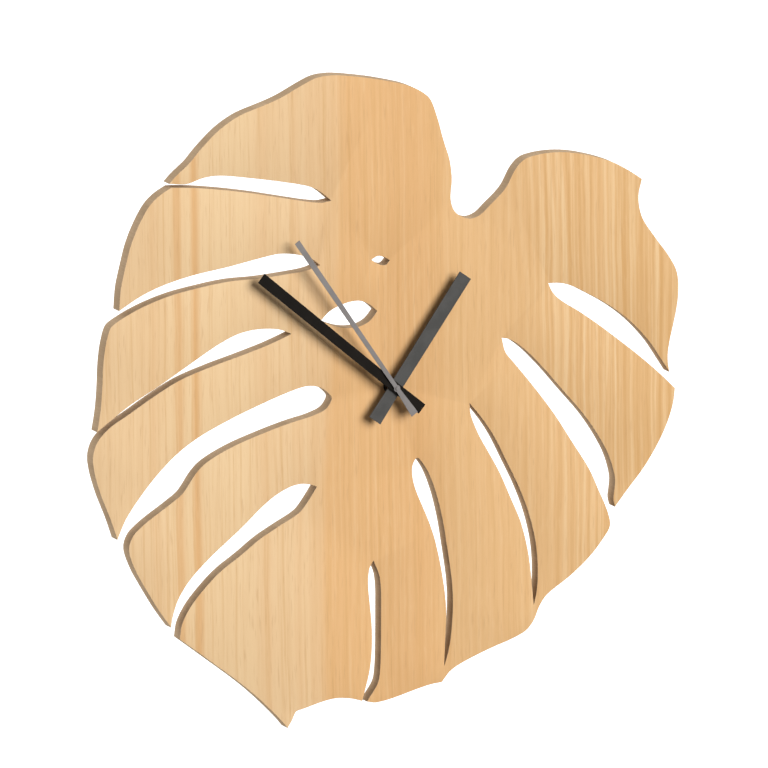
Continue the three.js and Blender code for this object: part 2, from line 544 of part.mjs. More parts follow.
// side is +1 for the button end of the battery and -1 for the flat end. The strip is drawn in depth
// and height, then turned to lie along the side wall.
function contact(side, top) {
  const { inner, sheet, padBottom, padTop, padRear, padFront, stripRear, stripFront } = CONTACT;
  const outline = polygon([
    [padRear, padBottom], [padFront, padBottom], [padFront, padTop], [stripFront, padTop],
    [stripFront, top], [stripRear, top], [stripRear, padTop], [padRear, padTop],
  ]);
  const nearEnd = side > 0 ? inner : -inner - sheet;
  const strip = plate(outline, -nearEnd - sheet, -nearEnd).rotateZ(-Math.PI / 2);
  const footSpan = [side * CONTACT.footEnd, side * (inner + sheet / 2)].sort((a, b) => a - b);
  const { footHeight, footRear, footFront, footDrop } = CONTACT;
  const footTop = top - footDrop;
  const foot = block(...footSpan, footTop - footHeight, footTop, footRear, footFront);
  return join(strip, foot);
}

place('battery', battery(), batteryJacket);
place('contact_positive', contact(1, CONTACT.positiveTop), steel);
place('contact_negative', contact(-1, CONTACT.negativeTop), steel);

// ---------------------------------------------------------------- circuit board
const boardShape = roundedRectangle(PCB.x0, PCB.x1, PCB.z0, PCB.z1, PCB.corner);
place('circuit_board', plate(boardShape, PCB.rear, PCB.front, 3), greenBoard);
const crystalCan = turned([[0, -3], [0.8, -3], [1, -2.8], [1, 2.8], [0.8, 3], [0, 3]], 16);
place('quartz_crystal', crystalCan.rotateZ(Math.PI / 2).translate(14.5, -3.8, 24.2), steel);
const BLOB_FOOT = PCB.rear - 0.15;
const blobProfile = [[0, BLOB_FOOT], [2.4, BLOB_FOOT], [1.9, 4.3], [1, 4], [0, 3.95]];
place('chip_blob', turned(blobProfile, 20), epoxy, { at: [17.5, 20] });

// ---------------------------------------------------------------- stepping motor
const COIL = {
  height: 22, depth: 6.4, x0: -16.2, x1: 3.2, flange: 3.6, flangeWidth: 0.8, barrel: 1.75, bore: 1.3,
};
const WINDING_RADIUS = 3.2;
const STATOR = { rear: 7.1, front: 8.1, hole: 2.5, collar: 4.4, stripHalf: 2.2, legPast: 1.4 };
const CORE = { rear: 5.9, front: 6.9, halfHeight: 1.05, x0: -20.6, x1: 7.6 };
const LEGS = [[-21, -17], [4, 8]];

// Turned about x: the profile is [radius, x], lying at the coil's height and depth.
function alongCoil(profile, segments = 24) {
  return turned(profile, segments).rotateZ(Math.PI / 2).translate(0, -COIL.depth, COIL.height);
}

const { x0: coilStart, x1: coilEnd, flangeWidth } = COIL;
place('coil_bobbin', alongCoil([
  [COIL.bore, coilStart], [COIL.flange, coilStart], [COIL.flange, coilStart + flangeWidth],
  [COIL.barrel, coilStart + flangeWidth], [COIL.barrel, coilEnd - flangeWidth],
  [COIL.flange, coilEnd - flangeWidth], [COIL.flange, coilEnd], [COIL.bore, coilEnd],
]), whitePlastic);
place('coil_winding', alongCoil([
  [COIL.barrel + FIT, coilStart + flangeWidth + FIT], [WINDING_RADIUS, coilStart + flangeWidth + FIT],
  [WINDING_RADIUS, coilEnd - flangeWidth - FIT], [COIL.barrel + FIT, coilEnd - flangeWidth - FIT],
]), copper);
place('coil_core', block(CORE.x0, CORE.x1, COIL.height - CORE.halfHeight, COIL.height + CORE.halfHeight,
  CORE.rear, CORE.front), steel);

function stator() {
  const { rear, front, stripHalf, legPast } = STATOR;
  const low = ROTOR[1] - stripHalf;
  const strip = block(LEGS[0][0], LEGS[1][1], low, ROTOR[1] + stripHalf, rear, front);
  const collar = rod(STATOR.collar, rear, front, ROTOR, 28);
  const legs = LEGS.map(([from, to]) => block(from, to, low, COIL.height + legPast, rear, front));
  return cut(join(strip, collar, ...legs), rod(STATOR.hole, rear - PAST, front + PAST, ROTOR, 28));
}

place('stator', stator(), steel);

// ---------------------------------------------------------------- wheels
// A tooth is a straight-sided stub: widths are shares of the tooth pitch, heights are in modules.
const WHEEL_FORM = { rootWidth: 0.54, tipWidth: 0.16, addendum: 0.7, dedendum: 1.1 };
const PINION_FORM = { rootWidth: 0.36, tipWidth: 0.16, addendum: 0.6, dedendum: 1.15 };

function toothed(teeth, pitchRadius, form) {
  const pitch = (Math.PI * 2) / teeth;
  const modulus = (2 * pitchRadius) / teeth;
  const root = pitchRadius - form.dedendum * modulus;
  const tip = pitchRadius + form.addendum * modulus;
  const corners = [[-form.rootWidth / 2, root], [-form.tipWidth / 2, tip], [form.tipWidth / 2, tip],
    [form.rootWidth / 2, root]];
  const outline = [];
  for (let tooth = 0; tooth < teeth; tooth += 1) {
    for (const [share, radius] of corners) {
      const angle = (tooth + share) * pitch;
      outline.push([radius * Math.cos(angle), radius * Math.sin(angle)]);
    }
  }
  return polygon(outline);
}

// Pitch radii of a pair that share a distance between axes.
function pitchRadii(distance, firstTeeth, secondTeeth) {
  const share = distance / (firstTeeth + secondTeeth);
  return [share * firstTeeth, share * secondTeeth];
}

// The angle that puts a follower in mesh: a tooth of one wheel faces a gap of the other. Angles run
// anticlockwise as seen from the front, and direction points from the leading axis to the follower.
function meshAngle(leadTeeth, leadAngle, followTeeth, direction) {
  const leadPhase = ((degrees(direction) - leadAngle) * leadTeeth) / (Math.PI * 2);
  return degrees(direction) + Math.PI - ((0.5 - leadPhase) * Math.PI * 2) / followTeeth;
}

function toothedRing(teeth, pitchRadius, form, rear, front, bore, angle) {
  const shape = toothed(teeth, pitchRadius, form);
  if (bore > 0) roundHole(shape, bore);
  return plate(shape, rear, front, 10).rotateY(-angle);
}

const [rotorRadius, intermediateRadius] = pitchRadii(ROTOR_STEP, TEETH.rotor, TEETH.intermediateWheel);
const [intermediatePinionRadius, secondRadius] = pitchRadii(
  INTERMEDIATE_STEP, TEETH.intermediatePinion, TEETH.secondWheel,
);
const [secondPinionRadius, thirdRadius] = pitchRadii(THIRD_STEP, TEETH.secondPinion, TEETH.thirdWheel);
const [thirdPinionRadius, driveRadius] = pitchRadii(THIRD_STEP, TEETH.thirdPinion, TEETH.driveWheel);
const [cannonRadius, motionRadius] = pitchRadii(MOTION_STEP, TEETH.cannon, TEETH.motionWheel);
const [motionPinionRadius, hourRadius] = pitchRadii(MOTION_STEP, TEETH.motionPinion, TEETH.hourWheel);
const [, knobRadius] = pitchRadii(KNOB_STEP, TEETH.motionWheel, TEETH.knob);

// Wheels lead from the second wheel outwards, then from the cannon pinion outwards.
const secondAngle = 0;
const intermediatePinionAngle = meshAngle(
  TEETH.secondWheel, secondAngle, TEETH.intermediatePinion, INTERMEDIATE_DIRECTION,
);
const rotorAngle = meshAngle(TEETH.intermediateWheel, 0, TEETH.rotor, ROTOR_DIRECTION);
const thirdAngle = meshAngle(TEETH.secondPinion, secondAngle, TEETH.thirdWheel, THIRD_DIRECTION);
const driveAngle = meshAngle(TEETH.thirdPinion, 0, TEETH.driveWheel, THIRD_DIRECTION + 180);
const motionAngle = meshAngle(TEETH.cannon, 0, TEETH.motionWheel, MOTION_DIRECTION);
const hourAngle = meshAngle(TEETH.motionPinion, 0, TEETH.hourWheel, MOTION_DIRECTION + 180);
const knobAngle = meshAngle(TEETH.motionWheel, motionAngle, TEETH.knob, MOTION_DIRECTION);

// Rotor: pinion and arbor in plastic, with the magnet ring pressed on in front of the pinion.
const rotorPinion = toothedRing(TEETH.rotor, rotorRadius, PINION_FORM, 4.3, 5.9, 0, rotorAngle);
const pivotRod = rod(PIVOT.radius, PIVOT.rear, PIVOT.front, CENTRE, 12);
place('rotor_pinion', join(rotorPinion, pivotRod), whitePlastic, { at: ROTOR });
place('rotor_magnet', ring(PIVOT.radius + FIT, 2.2, 6.4, 8, 24), ferrite, { at: ROTOR });

place('intermediate_wheel', join(
  toothedRing(TEETH.intermediateWheel, intermediateRadius, WHEEL_FORM, 4.7, 5.5, 0, 0),
  toothedRing(
    TEETH.intermediatePinion, intermediatePinionRadius, PINION_FORM, 2.6, 4.8, 0, intermediatePinionAngle,
  ),
  pivotRod,
), whitePlastic, { at: INTERMEDIATE });

place('second_wheel', join(
  toothedRing(TEETH.secondWheel, secondRadius, WHEEL_FORM, 3, 4, TUBE.arbor + FIT, secondAngle),
  toothedRing(TEETH.secondPinion, secondPinionRadius, PINION_FORM, 3.9, 5.8, TUBE.arbor + FIT, secondAngle),
), redPlastic);
place('second_arbor', rod(TUBE.arbor, PIVOT.rear, SECOND_HAND.front, CENTRE, 16), steel);

place('third_wheel', join(
  toothedRing(TEETH.thirdWheel, thirdRadius, WHEEL_FORM, 4.6, 5.6, 0, thirdAngle),
  toothedRing(TEETH.thirdPinion, thirdPinionRadius, PINION_FORM, 5.5, 7.7, 0, 0),
  pivotRod,
), whitePlastic, { at: THIRD });

const SLEEVE = { radius: 1.2, rear: 5.95 };
const TUBE_PAST_HAND = 0.2;
place('minute_drive_wheel', toothedRing(
  TEETH.driveWheel, driveRadius, WHEEL_FORM, 6.3, 7.3, SLEEVE.radius + RUNNING_GAP, driveAngle,
), whitePlastic);

// Minute tube: the cannon pinion, with a rear sleeve that grips the drive wheel and a front tube
// that carries the minute hand.
const minuteTubeEnd = MINUTE_HAND.front + TUBE_PAST_HAND;
const minuteTube = turned([
  [TUBE.minuteBore, SLEEVE.rear], [SLEEVE.radius, SLEEVE.rear], [SLEEVE.radius, 11.4],
  [TUBE.minuteRadius, 11.4], [TUBE.minuteRadius, minuteTubeEnd], [TUBE.minuteBore, minuteTubeEnd],
], 24);
place('cannon_pinion', join(
  minuteTube, toothedRing(TEETH.cannon, cannonRadius, PINION_FORM, 9.8, 11.5, 1, 0),
), brass);

place('motion_wheel', join(
  toothedRing(TEETH.motionWheel, motionRadius, WHEEL_FORM, 10.1, 11.1, 0, motionAngle),
  toothedRing(TEETH.motionPinion, motionPinionRadius, PINION_FORM, 11, 13.2, 0, 0),
  rod(0.6, 8.6, 15.1, CENTRE, 12),
), whitePlastic, { at: MOTION });

const hourTube = ring(TUBE.hourBore, TUBE.hourRadius, 11.9, HOUR_HAND.front + TUBE_PAST_HAND, 28);
place('hour_wheel', join(
  hourTube, toothedRing(TEETH.hourWheel, hourRadius, WHEEL_FORM, 11.9, 12.9, 2.2, hourAngle),
), whitePlastic);

// ---------------------------------------------------------------- setting knob
const KNOB_CAP = { radius: 4.9, rear: 0.4, front: 2.7, ribs: 20, ribDepth: 0.3 };

function knobCap() {
  const outline = [];
  for (let rib = 0; rib < KNOB_CAP.ribs * 2; rib += 1) {
    const radius = KNOB_CAP.radius - (rib % 2) * KNOB_CAP.ribDepth;
    const angle = (rib * Math.PI) / KNOB_CAP.ribs;
    outline.push([radius * Math.cos(angle), radius * Math.sin(angle)]);
  }
  return plate(polygon(outline), KNOB_CAP.rear, KNOB_CAP.front);
}

place('setting_knob', join(
  knobCap(), rod(1.4, 2.5, 10.5, CENTRE, 16), rod(0.6, 10, 15.1, CENTRE, 12),
  toothedRing(TEETH.knob, knobRadius, PINION_FORM, 9.9, 11.3, 0, knobAngle),
), blackPlastic, { at: KNOB });

export default clock;
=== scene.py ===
"""Looks of the leaf wall clock: a pine board cut as a monstera leaf, painted hands, a quartz movement.

Lengths in the constants are millimetres. The row frame is in metres, +Z up, the clock faces -Y.
"""
import json
import math

import bmesh
import bpy
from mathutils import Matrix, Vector


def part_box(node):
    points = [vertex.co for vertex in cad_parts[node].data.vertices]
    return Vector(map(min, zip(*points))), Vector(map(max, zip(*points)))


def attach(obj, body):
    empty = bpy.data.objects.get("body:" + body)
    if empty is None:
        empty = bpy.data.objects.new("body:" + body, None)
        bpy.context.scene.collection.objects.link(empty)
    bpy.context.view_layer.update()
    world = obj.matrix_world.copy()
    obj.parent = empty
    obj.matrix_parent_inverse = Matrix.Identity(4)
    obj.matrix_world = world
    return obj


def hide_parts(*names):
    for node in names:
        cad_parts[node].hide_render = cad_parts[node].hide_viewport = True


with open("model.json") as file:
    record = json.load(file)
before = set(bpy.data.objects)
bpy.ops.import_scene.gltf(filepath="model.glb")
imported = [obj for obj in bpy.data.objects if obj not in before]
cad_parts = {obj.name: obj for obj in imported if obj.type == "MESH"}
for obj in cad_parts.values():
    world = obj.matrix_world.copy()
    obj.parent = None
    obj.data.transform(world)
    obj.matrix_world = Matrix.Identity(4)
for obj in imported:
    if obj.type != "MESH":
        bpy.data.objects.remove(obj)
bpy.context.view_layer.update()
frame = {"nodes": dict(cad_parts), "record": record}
MM = 0.001
BODY = "clock"


# ------------------------------------------------------------------ colours
def srgb(red, green, blue):
    """A colour given as 0 to 255, as the linear values that a shader takes."""
    def linear(value):
        share = value / 255
        return share / 12.92 if share <= 0.04045 else ((share + 0.055) / 1.055) ** 2.4
    return (linear(red), linear(green), linear(blue), 1.0)


PALE_PINE = srgb(239, 205, 158)
SAP_PINE = srgb(237, 201, 154)
WARM_PINE = srgb(234, 194, 145)
HEART_PINE = srgb(232, 183, 126)
DEEP_PINE = srgb(229, 179, 122)
HONEY_PINE = srgb(231, 186, 131)
RED_PINE = srgb(227, 182, 126)
ORANGE_PINE = srgb(228, 178, 120)
STREAK_PINE = srgb(229, 184, 131)
CREAM_LINE = srgb(245, 213, 166)
RESIN_LINE = srgb(214, 163, 100)
FLECK_BROWN = srgb(200, 150, 100)
CUT_EDGE = srgb(199, 171, 138)
CUT_EDGE_DARK = srgb(172, 144, 111)


# ------------------------------------------------------------------ shader graphs
def give(tree, socket, value):
    """Sets a socket to a value, or links it to another node's output."""
    if isinstance(value, bpy.types.NodeSocket):
        tree.links.new(value, socket)
    else:
        socket.default_value = value


class Graph:
    """A material with one Principled shader, and short calls that add nodes to it."""

    def __init__(self, name, roughness=0.5, metallic=0.0, specular=0.5, coat=0.0, coat_roughness=0.1):
        self.material = bpy.data.materials.new(name)
        self.material.use_nodes = True
        self.tree = self.material.node_tree
        self.shader = self.tree.nodes["Principled BSDF"]
        self.shader.inputs["Roughness"].default_value = roughness
        self.shader.inputs["Metallic"].default_value = metallic
        self.shader.inputs["Specular IOR Level"].default_value = specular
        self.shader.inputs["Coat Weight"].default_value = coat
        self.shader.inputs["Coat Roughness"].default_value = coat_roughness
        place = self.tree.nodes.new("ShaderNodeTexCoord")
        self.millimetres = self.scaled(place.outputs["Object"], 1 / MM)

    def give(self, socket, value):
        give(self.tree, socket, value)

    def scaled(self, vector, factor):
        step = self.tree.nodes.new("ShaderNodeVectorMath")
        step.operation = "MULTIPLY"
        self.give(step.inputs[0], vector)
        self.give(step.inputs[1], factor if isinstance(factor, tuple) else (factor,) * 3)
        return step.outputs[0]

    def math(self, operation, first, second=0.0, third=0.0):
        step = self.tree.nodes.new("ShaderNodeMath")
        step.operation = operation
        for socket, value in zip(step.inputs, (first, second, third)):
            self.give(socket, value)
        return step.outputs[0]

    def split(self, vector):
        step = self.tree.nodes.new("ShaderNodeSeparateXYZ")
        self.give(step.inputs[0], vector)
        return step.outputs

    def join(self, x=0.0, y=0.0, z=0.0):
        step = self.tree.nodes.new("ShaderNodeCombineXYZ")
        for socket, value in zip(step.inputs, (x, y, z)):
            self.give(socket, value)
        return step.outputs[0]

    def noise(self, vector, detail=2.0, roughness=0.5):
        step = self.tree.nodes.new("ShaderNodeTexNoise")
        self.give(step.inputs["Vector"], vector)
        step.inputs["Scale"].default_value = 1.0
        step.inputs["Detail"].default_value = detail
        step.inputs["Roughness"].default_value = roughness
        return step.outputs["Fac"]

    def cells(self, vector, feature="F1", randomness=1.0):
        step = self.tree.nodes.new("ShaderNodeTexVoronoi")
        step.feature = feature
        self.give(step.inputs["Vector"], vector)
        step.inputs["Scale"].default_value = 1.0
        step.inputs["Randomness"].default_value = randomness
        return step.outputs["Distance"]

    def spread(self, value, low, high, to_low=0.0, to_high=1.0, smooth=True):
        step = self.tree.nodes.new("ShaderNodeMapRange")
        step.interpolation_type = "SMOOTHSTEP" if smooth else "LINEAR"
        for key, number in (("From Min", low), ("From Max", high), ("To Min", to_low), ("To Max", to_high)):
            step.inputs[key].default_value = number
        self.give(step.inputs["Value"], value)
        return step.outputs["Result"]

    def ramp(self, value, stops):
        step = self.tree.nodes.new("ShaderNodeValToRGB")
        elements = step.color_ramp.elements
        while len(elements) < len(stops):
            elements.new(1.0)
        for element, (position, colour) in zip(elements, stops):
            element.position = position
            element.color = colour
        self.give(step.inputs["Fac"], value)
        return step.outputs["Color"]

    def mix(self, share, first, second, blend="MIX"):
        step = self.tree.nodes.new("ShaderNodeMix")
        step.data_type = "RGBA"
        step.blend_type = blend
        self.give(step.inputs[0], share)
        self.give(step.inputs[6], first)
        self.give(step.inputs[7], second)
        return step.outputs[2]

    def bump(self, height, distance, strength=1.0):
        step = self.tree.nodes.new("ShaderNodeBump")
        step.inputs["Strength"].default_value = strength
        step.inputs["Distance"].default_value = distance * MM
        self.give(step.inputs["Height"], height)
        self.tree.links.new(step.outputs["Normal"], self.shader.inputs["Normal"])

    def finish(self, colour, roughness=None):
        self.give(self.shader.inputs["Base Color"], colour)
        if roughness is not None:
            self.give(self.shader.inputs["Roughness"], roughness)
        return self.material


# ------------------------------------------------------------------ wood
LEAF_HALF = 205.0
RING_PITCH = 7.2
HEART_BORDER_LEAN = 0.09
HEART_BORDER_FOOT = -60.0
# Tones across the board, from its left to its right, as millimetres from the hand axis.
TONES = [
    (-198, SAP_PINE), (-162, SAP_PINE), (-159, WARM_PINE), (-156, SAP_PINE), (-146, PALE_PINE),
    (-144, STREAK_PINE), (-141, STREAK_PINE), (-139, PALE_PINE), (-134, PALE_PINE), (-132, ORANGE_PINE),
    (-129, STREAK_PINE), (-127, PALE_PINE), (-96, PALE_PINE), (-90, SAP_PINE), (-84, WARM_PINE),
    (-81, SAP_PINE), (-67, SAP_PINE), (-63, WARM_PINE), (-58, SAP_PINE), (-54, WARM_PINE),
    (-40, WARM_PINE), (-26, HEART_PINE), (-8, HEART_PINE), (4, DEEP_PINE), (22, DEEP_PINE),
    (45, HONEY_PINE), (72, HONEY_PINE), (98, HONEY_PINE), (122, HONEY_PINE), (146, HONEY_PINE),
    (160, RED_PINE), (198, RED_PINE),
]


def wood_face():
    g = Graph("pine_face", roughness=0.62, specular=0.25)
    x, _, z = g.split(g.millimetres)
    sway = g.noise(g.join(g.math("MULTIPLY", x, 0.03), 0.0, g.math("MULTIPLY", z, 0.012)), detail=2)
    leaning = g.math("MULTIPLY_ADD", z, 0.012, x)
    across = g.math("MULTIPLY_ADD", sway, 3.6, g.math("ADD", leaning, -1.8))

    def lines(per_mm, along_mm, detail=1.0, roughness=0.5, offset=0.0):
        """Noise drawn out along the grain: so many cells in a millimetre across and along."""
        cell = g.join(
            g.math("MULTIPLY_ADD", across, per_mm, offset), offset, g.math("MULTIPLY", z, along_mm)
        )
        return g.noise(cell, detail=detail, roughness=roughness)

    tone = g.ramp(
        g.spread(across, -LEAF_HALF, LEAF_HALF, smooth=False),
        [((at + LEAF_HALF) / (2 * LEAF_HALF), colour) for at, colour in TONES],
    )
    # the heartwood's left border leans: the wedge of warm wood beside it widens towards the top
    height = g.math("MAXIMUM", z, HEART_BORDER_FOOT)
    heart = g.spread(g.math("MULTIPLY_ADD", height, -HEART_BORDER_LEAN, across), -46, -37)
    heart = g.math("MULTIPLY", heart, g.spread(across, 0, -20))
    tone = g.mix(heart, tone, HEART_PINE)
    # growth rings, cut so that they stand as lines: strongest on the right, whose border leans
    border = g.math("MULTIPLY_ADD", z, 0.11, across)
    right = g.spread(border, 84, 124)
    drift = lines(0.013, 0.0045, detail=2.0, offset=2.6)
    phase = g.math("MULTIPLY_ADD", drift, 2.6 * math.tau, g.math("MULTIPLY", across, math.tau / RING_PITCH))
    uneven = lines(0.11, 0.0035, detail=1.0, offset=17.2)
    phase = g.math("MULTIPLY_ADD", uneven, 1.4 * math.tau, phase)
    wave = g.math("MULTIPLY_ADD", g.math("SINE", phase), 0.5, 0.5)
    vigour = g.spread(lines(0.16, 0.0032, offset=7.7), 0.34, 0.58, 0.35, 1.0)
    late = g.math("MULTIPLY", g.spread(wave, 0.34, 0.06), vigour)
    early = g.math("MULTIPLY", g.spread(wave, 0.60, 0.92), vigour)
    # fine lines that run the whole height, and short dashes of the cut fibres
    fibres = lines(0.40, 0.0045, detail=3.0, roughness=0.65, offset=5.1)
    dashes = lines(0.80, 0.055, detail=2.0, roughness=0.6, offset=23.9)
    # close rings between the bold ones, on the right only
    close = lines(0.62, 0.0035, detail=1.0, offset=31.3)
    clouds = g.noise(g.join(g.math("MULTIPLY", x, 0.02), 4.0, g.math("MULTIPLY", z, 0.011)), detail=2)

    colour = g.mix(g.math("MULTIPLY", early, g.math("MULTIPLY_ADD", right, 0.42, 0.08)), tone, CREAM_LINE)
    colour = g.mix(g.math("MULTIPLY", late, g.math("MULTIPLY_ADD", right, 0.34, 0.10)), colour, RESIN_LINE)
    colour = g.mix(g.math("MULTIPLY", right, g.spread(close, 0.47, 0.33, 0.0, 0.42)), colour, RESIN_LINE)
    colour = g.mix(g.math("MULTIPLY", right, g.spread(close, 0.55, 0.68, 0.0, 0.28)), colour, CREAM_LINE)
    colour = g.mix(g.spread(fibres, 0.50, 0.28, 0.0, 0.40), colour, RESIN_LINE)
    colour = g.mix(g.spread(fibres, 0.52, 0.72, 0.0, 0.26), colour, CREAM_LINE)
    colour = g.mix(g.spread(dashes, 0.45, 0.27, 0.0, 0.30), colour, FLECK_BROWN)
    colour = g.mix(g.spread(dashes, 0.56, 0.74, 0.0, 0.20), colour, CREAM_LINE)
    colour = g.mix(g.spread(clouds, 0.40, 0.60, 0.0, 0.10), colour, HONEY_PINE)
    g.bump(g.math("MULTIPLY_ADD", fibres, 0.7, g.math("MULTIPLY", dashes, 0.5)), distance=0.05, strength=0.35)
    return g.finish(colour, g.spread(fibres, 0.3, 0.7, 0.68, 0.56))


def wood_edge():
    """The cut edge: browned by the cut, with fine marks through the thickness."""
    g = Graph("pine_cut_edge", roughness=0.75, specular=0.15)
    x, _, z = g.split(g.millimetres)
    marks = g.noise(g.scaled(g.millimetres, (1.7, 0.10, 1.7)), detail=2)
    scorch = g.noise(g.join(g.math("MULTIPLY", x, 0.06), 2.0, g.math("MULTIPLY", z, 0.06)), detail=3)
    fibre = g.noise(g.scaled(g.millimetres, (0.9, 2.4, 0.03)), detail=2)
    colour = g.mix(g.spread(marks, 0.35, 0.7, 0.0, 0.35), CUT_EDGE, CUT_EDGE_DARK)
    colour = g.mix(g.spread(scorch, 0.42, 0.62, 0.0, 0.45), colour, CUT_EDGE_DARK)
    colour = g.mix(g.spread(fibre, 0.55, 0.75, 0.0, 0.2), colour, FLECK_BROWN)
    g.bump(g.math("ADD", marks, fibre), distance=0.06, strength=0.4)
    return g.finish(colour)


# ------------------------------------------------------------------ paint, plastic, rubber
def grained(name, low, high, grain_mm, depth_mm, roughness, specular=0.5, coat=0.0, spots=0.0):
    """A moulded or painted surface: two close tones in soft clouds, and a fine skin of set size."""
    g = Graph(name, roughness=roughness, specular=specular, coat=coat)
    clouds = g.noise(g.scaled(g.millimetres, 0.09), detail=4, roughness=0.6)
    skin = g.noise(g.scaled(g.millimetres, 1 / grain_mm), detail=3, roughness=0.65)
    colour = g.mix(g.spread(clouds, 0.35, 0.65), low, high)
    if spots > 0:
        colour = g.mix(g.spread(skin, 0.6, 0.78, 0.0, spots), colour, high)
    g.bump(skin, distance=depth_mm, strength=0.5)
    return g.finish(colour, g.spread(skin, 0.3, 0.7, roughness - 0.06, roughness + 0.08))


def brushed(name, low, high, direction, roughness):
    """Metal with fine lines along x, y or z, and a few brighter rubbed patches."""
    g = Graph(name, roughness=roughness, metallic=1.0)
    stretch = {"x": (0.08, 5.0, 5.0), "y": (5.0, 0.08, 5.0), "z": (5.0, 5.0, 0.08)}[direction]
    strokes = g.noise(g.scaled(g.millimetres, stretch), detail=3, roughness=0.7)
    patches = g.noise(g.scaled(g.millimetres, 0.25), detail=3)
    colour = g.mix(g.spread(strokes, 0.3, 0.7), low, high)
    colour = g.mix(g.spread(patches, 0.45, 0.7, 0.0, 0.35), colour, high)
    g.bump(strokes, distance=0.01, strength=0.3)
    return g.finish(colour, g.spread(strokes, 0.3, 0.7, roughness + 0.08, roughness - 0.06))


def spangled(name, low, high, roughness):
    """Zinc plated sheet, with the soft crystal patches of the plating."""
    g = Graph(name, roughness=roughness, metallic=1.0)
    crystals = g.cells(g.scaled(g.millimetres, 0.45))
    fine = g.noise(g.scaled(g.millimetres, 6.0), detail=2)
    colour = g.mix(g.spread(crystals, 0.1, 0.8), low, high)
    g.bump(fine, distance=0.01, strength=0.25)
    return g.finish(colour, g.spread(crystals, 0.1, 0.8, roughness - 0.06, roughness + 0.08))


def wound(name, low, high, turns_per_mm):
    """Layers of fine enamelled wire wound about the x axis, painted light on each turn's crest and dark in
    the grooves between turns: painted highlight and painted shade.
    """
    g = Graph(name, roughness=0.3, metallic=0.9, coat=0.4)
    x, _, _ = g.split(g.millimetres)
    wander = g.noise(g.scaled(g.millimetres, 0.8), detail=2)
    phase = g.math("MULTIPLY_ADD", x, turns_per_mm * math.tau, g.math("MULTIPLY", wander, 3.0))
    wire = g.math("MULTIPLY_ADD", g.math("SINE", phase), 0.5, 0.5)
    g.bump(wire, distance=0.04, strength=0.8)
    # The two copper tones follow the turns: painted highlight on the crests, painted shade in the grooves.
    return g.finish(g.mix(wire, low, high))


def printed_board(name):
    """Green board: darker solder mask over paler tracks."""
    g = Graph(name, roughness=0.35, coat=0.3)
    tracks = g.cells(g.scaled(g.millimetres, (0.55, 0.1, 0.55)), feature="DISTANCE_TO_EDGE", randomness=0.9)
    weave = g.noise(g.scaled(g.millimetres, 4.0), detail=2)
    colour = g.mix(g.spread(tracks, 0.06, 0.13), srgb(70, 120, 62), srgb(28, 76, 40))
    colour = g.mix(g.spread(weave, 0.5, 0.7, 0.0, 0.2), colour, srgb(52, 98, 52))
    g.bump(g.spread(tracks, 0.04, 0.12, 1.0, 0.0), distance=0.04, strength=0.6)
    return g.finish(colour)


# Where the film's pale line starts and the copper band takes over, as shares of the cell's length.
FILM_LINE = 0.723
FILM_BAND = 0.736
FILM_BORDER = 0.001
# The cell's body, without its button, reaches this far left and right of the hand axis.
CELL_HALF = 24.5


def battery_sleeve(name, start, end):
    """Printed film round the cell: a blue body, a copper band at the button end, fine film creases."""
    g = Graph(name, roughness=0.32, metallic=0.35, coat=0.5, coat_roughness=0.12)
    x, _, _ = g.split(g.millimetres)
    along = g.spread(x, start, end, smooth=False)
    creases = g.noise(g.scaled(g.millimetres, (0.12, 1.2, 1.2)), detail=3, roughness=0.6)
    body = g.mix(g.spread(creases, 0.3, 0.7), srgb(34, 74, 104), srgb(48, 96, 130))
    band = g.mix(g.spread(creases, 0.3, 0.7), srgb(176, 122, 74), srgb(206, 154, 100))
    on_band = g.spread(along, FILM_BAND - FILM_BORDER, FILM_BAND + FILM_BORDER)
    off_band = g.spread(along, FILM_BAND + FILM_BORDER, FILM_BAND - FILM_BORDER)
    past_line = g.spread(along, FILM_LINE - FILM_BORDER, FILM_LINE + FILM_BORDER)
    colour = g.mix(on_band, body, band)
    colour = g.mix(g.math("MULTIPLY", past_line, off_band), colour, srgb(210, 214, 218))
    g.bump(creases, distance=0.05, strength=0.3)
    return g.finish(colour)


